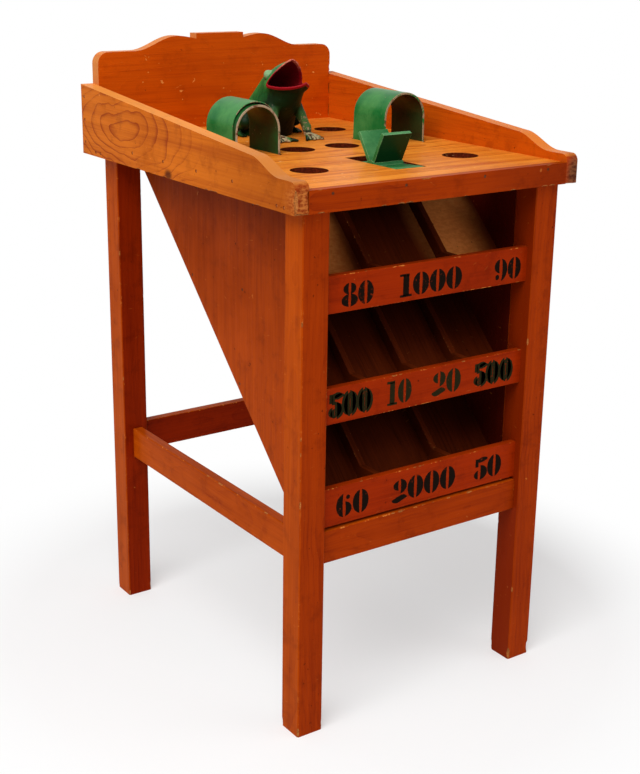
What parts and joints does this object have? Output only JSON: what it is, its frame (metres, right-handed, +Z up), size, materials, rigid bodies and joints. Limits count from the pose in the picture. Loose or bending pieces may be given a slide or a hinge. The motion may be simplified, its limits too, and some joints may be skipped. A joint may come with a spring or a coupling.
{
  "type": "frog toss game",
  "caption": "Wooden toss game table with token holes, arches, an open-mouthed frog, a turning paddle wheel and numbered catch trays.",
  "frame": {"origin": "centre of the footprint on the floor", "axes": "+Z up, -Y towards the player, +X to the player's right"},
  "size_m": [0.51, 0.64, 0.9873],
  "materials": {
    "frame_varnish": "worn orange-brown varnish",
    "board_varnish": "worn honey varnish",
    "side_board_varnish": "worn orange varnish over flame grain",
    "panel_varnish": "orange-brown varnish",
    "bare_wood": "unvarnished, darkened",
    "frog_paint": "worn green enamel with red lips",
    "arch_paint": "worn green enamel",
    "wheel_paint": "worn green enamel",
    "steel": "dull",
    "dark_steel": "rusted"
  },
  "bodies": {
    "cabinet": {"leg_front_left": "frame_varnish", "leg_front_right": "frame_varnish", "leg_rear_left": "frame_varnish", "leg_rear_right": "frame_varnish", "side_stretcher_left": "frame_varnish", "side_stretcher_right": "frame_varnish", "front_stretcher": "frame_varnish", "rear_stretcher": "frame_varnish", "rear_rail": "bare_wood", "front_batten": "bare_wood", "side_batten_left": "bare_wood", "side_batten_right": "bare_wood", "side_panel_left": "panel_varnish", "side_panel_right": "panel_varnish", "play_board": "board_varnish", "front_fascia": "frame_varnish", "side_board_left": "side_board_varnish", "side_board_right": "side_board_varnish", "back_board": "panel_varnish", "number_board_top": "frame_varnish", "number_board_middle": "frame_varnish", "number_board_bottom": "frame_varnish", "chute_top": "bare_wood", "chute_middle": "bare_wood", "chute_bottom": "bare_wood", "tray_floor_top": "bare_wood", "tray_floor_middle": "bare_wood", "tray_floor_bottom": "bare_wood", "slat_top_left": "bare_wood", "slat_top_right": "bare_wood", "slat_middle_left": "bare_wood", "slat_middle_centre": "bare_wood", "slat_middle_right": "bare_wood", "slat_bottom_left": "bare_wood", "slat_bottom_right": "bare_wood", "arch_right": "arch_paint", "arch_left_cover": "arch_paint", "arch_left_liner": "arch_paint", "frog": "frog_paint", "frog_screws": "dark_steel", "bearing_plate_left": "steel", "bearing_plate_right": "steel", "bearing_screws": "dark_steel", "fascia_nails": "dark_steel", "side_board_nails": "dark_steel", "panel_nails": "dark_steel"},
    "wheel": {"paddle_wheel": "wheel_paint", "wheel_axle": "steel"}
  },
  "joints": [
    {"name": "paddle_wheel_spin", "type": "hinge", "parent": "cabinet", "child": "wheel", "pos_m": [0, -0.178, 0.8214], "axis": [1, 0, 0], "continuous": true}
  ]
}
